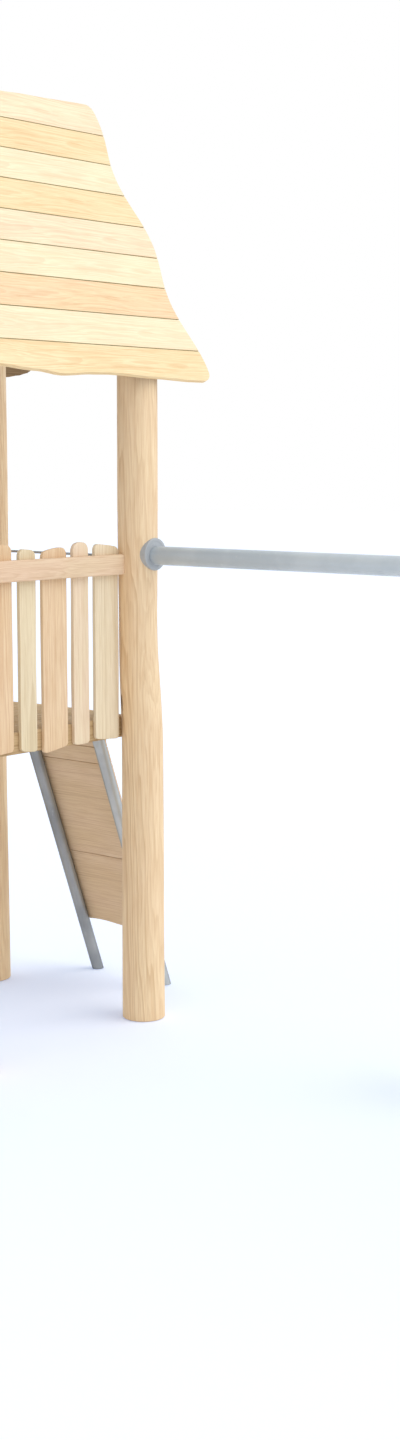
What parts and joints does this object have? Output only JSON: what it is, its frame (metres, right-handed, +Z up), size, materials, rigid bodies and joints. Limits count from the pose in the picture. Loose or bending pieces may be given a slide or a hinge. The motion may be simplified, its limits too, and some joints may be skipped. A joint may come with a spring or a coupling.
{
  "type": "play tower with swing",
  "caption": "Timber play tower with a steep plank gable roof, pale railing, climbing wall and slide, and a steel swing beam from a corner post to a log A-frame.",
  "frame": {"origin": "on the ground, under the middle of the whole set", "axes": "+X from the slide towards the climbing wall, +Y from the A-frame of the swing towards the rear of the tower, +Z up"},
  "size_m": [4.7408, 5.0968, 4.4464],
  "materials": {
    "peeled_log": "satin",
    "sawn_timber": "satin",
    "roof_plank": "satin",
    "wall_board": "satin",
    "painted_steel": "satin",
    "stainless_sheet": "brushed",
    "black_rubber": "matte"
  },
  "bodies": {
    "play_set": {"post_front_right": "peeled_log", "post_front_left": "peeled_log", "post_rear_right": "peeled_log", "post_rear_left": "peeled_log", "front_beam": "sawn_timber", "rear_beam": "sawn_timber", "joist_left": "sawn_timber", "joist_right": "sawn_timber", "deck_board_1": "sawn_timber", "deck_board_2": "sawn_timber", "deck_board_3": "sawn_timber", "deck_board_4": "sawn_timber", "deck_board_5": "sawn_timber", "front_rail": "sawn_timber", "front_pale_1": "sawn_timber", "front_pale_2": "sawn_timber", "front_pale_3": "sawn_timber", "front_pale_4": "sawn_timber", "front_pale_5": "sawn_timber", "rear_railing": "sawn_timber", "grab_bar_left": "painted_steel", "grab_bar_right": "painted_steel", "roof_plank_1": "roof_plank", "roof_plank_2": "roof_plank", "roof_plank_3": "roof_plank", "roof_plank_4": "roof_plank", "roof_plank_5": "roof_plank", "roof_plank_6": "roof_plank", "roof_plank_7": "roof_plank", "roof_plank_8": "roof_plank", "roof_plank_9": "roof_plank", "rear_roof_slope": "roof_plank", "front_wall_plate": "sawn_timber", "rear_wall_plate": "sawn_timber", "roof_truss_left": "sawn_timber", "roof_truss_right": "sawn_timber", "climb_tube_front": "painted_steel", "climb_tube_rear": "painted_steel", "climb_board_lower": "wall_board", "climb_board_middle": "wall_board", "climb_board_upper": "wall_board", "climb_rung_1": "sawn_timber", "climb_rung_2": "sawn_timber", "climb_rung_3": "sawn_timber", "climb_rung_4": "sawn_timber", "beam_socket": "painted_steel", "swing_beam": "painted_steel", "head_plate": "painted_steel", "leg_left": "peeled_log", "leg_right": "peeled_log", "leg_brace": "peeled_log", "hanger_near": "painted_steel", "hanger_far": "painted_steel", "slide_chute": "stainless_sheet", "slide_foot": "painted_steel"},
    "swing": {"chain_near": "painted_steel", "chain_far": "painted_steel"},
    "seat": {"swing_seat": "black_rubber", "seat_bracket_near": "painted_steel", "seat_bracket_far": "painted_steel"}
  },
  "joints": [
    {"name": "swing_hinge", "type": "hinge", "parent": "play_set", "child": "swing", "pos_m": [1.4819, -0.5391, 2.19255], "axis": [0, 1, 0], "range_deg": [-60, 60]},
    {"name": "seat_tilt", "type": "hinge", "parent": "swing", "child": "seat", "pos_m": [1.4819, -0.5391, 0.5], "axis": [0, 1, 0], "range_deg": [-20, 20]}
  ]
}
